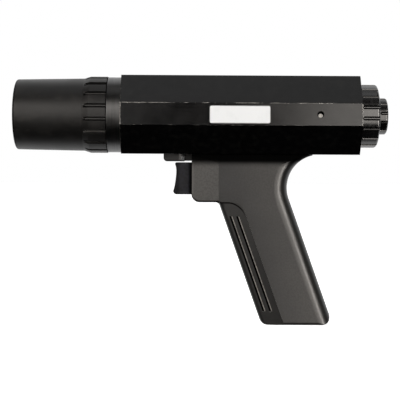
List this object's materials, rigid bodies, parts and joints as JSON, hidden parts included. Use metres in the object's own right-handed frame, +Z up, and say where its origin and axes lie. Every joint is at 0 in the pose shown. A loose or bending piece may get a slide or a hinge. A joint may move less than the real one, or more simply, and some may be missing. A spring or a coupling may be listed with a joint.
{
  "type": "xenon stroboscope",
  "caption": "Pistol-shaped xenon strobe light with a round focusing barrel, an eight-sided metal housing, concentric rear knobs, a trigger and a moulded grip.",
  "frame": {"origin": "on the floor plane under the middle of the object's box, where the grip's end stands", "axes": "+X from the muzzle to the rear knobs along the barrel, +Y to the object's right side, +Z up"},
  "size_m": [0.2568, 0.0544, 0.1703],
  "materials": {
    "black_paint": "satin",
    "grey_collar": "satin",
    "barrel_black": "satin",
    "cell_black": "matte",
    "knob_black": "gloss",
    "grip_plastic": "matte",
    "saddle_plastic": "matte",
    "trigger_plastic": "matte",
    "label_white": "satin",
    "steel": "satin",
    "nickel": "bright",
    "mirror_metal": "bright",
    "bare_aluminium": "satin",
    "quartz": "clear",
    "lens_glass": "clear",
    "white_ceramic": "matte",
    "green_board": "satin",
    "blue_sleeve": "gloss",
    "ferrite": "matte",
    "copper_winding": "satin",
    "potting": "satin",
    "chip_black": "matte",
    "resistor_body": "satin",
    "film_yellow": "satin",
    "terminal_green": "satin",
    "switch_red": "satin",
    "insert_black": "satin",
    "gold_contact": "bright",
    "gasket_rubber": "matte",
    "loom_black": "satin"
  },
  "bodies": {
    "frame": {"housing": "black_paint", "front_collar": "grey_collar", "collar_screws": "steel", "sleeve_circlip": "steel", "reflector": "mirror_metal", "flash_tube": "quartz", "tube_electrodes": "nickel", "trigger_electrode": "nickel", "tube_holder": "white_ceramic", "holder_screws": "steel", "circuit_board": "green_board", "storage_capacitor": "blue_sleeve", "transformer_core": "ferrite", "transformer_winding": "copper_winding", "trigger_coil": "potting", "heat_sink": "bare_aluminium", "power_transistor": "chip_black", "timing_chip": "chip_black", "resistors": "resistor_body", "film_capacitors": "film_yellow", "terminal_block": "terminal_green", "rear_chassis": "bare_aluminium", "side_screws": "steel", "double_potentiometer": "nickel", "pot_washer": "nickel", "pot_nut": "nickel", "label_plate": "label_white", "grip_left": "grip_plastic", "grip_right": "grip_plastic", "grip_screws": "steel", "grip_saddle": "saddle_plastic", "saddle_screws": "steel", "saddle_nuts": "steel", "trigger_spring": "steel", "trigger_switch": "switch_red", "socket_shell": "nickel", "socket_insert": "insert_black", "socket_contacts": "gold_contact", "socket_nut": "nickel", "wire_loom": "loom_black"},
    "focus_sleeve": {"focus_sleeve": "barrel_black"},
    "lens_carrier": {"lens_cell": "cell_black", "cam_pins": "gold_contact", "lens": "lens_glass", "lens_gasket": "gasket_rubber", "lens_ring": "cell_black"},
    "dial": {"dial_knob": "knob_black", "outer_shaft": "nickel", "dial_set_screw": "steel"},
    "centre": {"centre_knob": "knob_black", "inner_shaft": "nickel", "centre_set_screw": "steel"},
    "trigger": {"trigger": "trigger_plastic"},
    "plunger": {"switch_plunger": "insert_black"}
  },
  "joints": [
    {"name": "focus_turn", "type": "hinge", "parent": "frame", "child": "focus_sleeve", "pos_m": [-0.07515, 0, 0.1433], "axis": [1, 0, 0], "range_deg": [-60, 60]},
    {"name": "lens_travel", "type": "slide", "parent": "frame", "child": "lens_carrier", "axis": [1, 0, 0], "range_m": [-0.00405, 0.00405]},
    {"name": "dial_turn", "type": "hinge", "parent": "frame", "child": "dial", "pos_m": [0.10855, 0, 0.1433], "axis": [1, 0, 0], "range_deg": [-150, 150]},
    {"name": "centre_turn", "type": "hinge", "parent": "frame", "child": "centre", "pos_m": [0.11855, 0, 0.1433], "axis": [1, 0, 0], "range_deg": [-150, 150]},
    {"name": "trigger_pull", "type": "slide", "parent": "frame", "child": "trigger", "axis": [1, 0, 0], "range_m": [0, 0.005], "stiffness_N_per_m": 500, "springref_m": -0.004, "deforming": ["trigger_spring"]},
    {"name": "plunger_push", "type": "slide", "parent": "frame", "child": "plunger", "axis": [1, 0, 0], "range_m": [0, 0.005]}
  ],
  "couplings": [
    {"joint": "lens_travel", "follows": "focus_turn", "m_per_rad": -0.0038197},
    {"joint": "plunger_push", "follows": "trigger_pull", "ratio": 1}
  ]
}
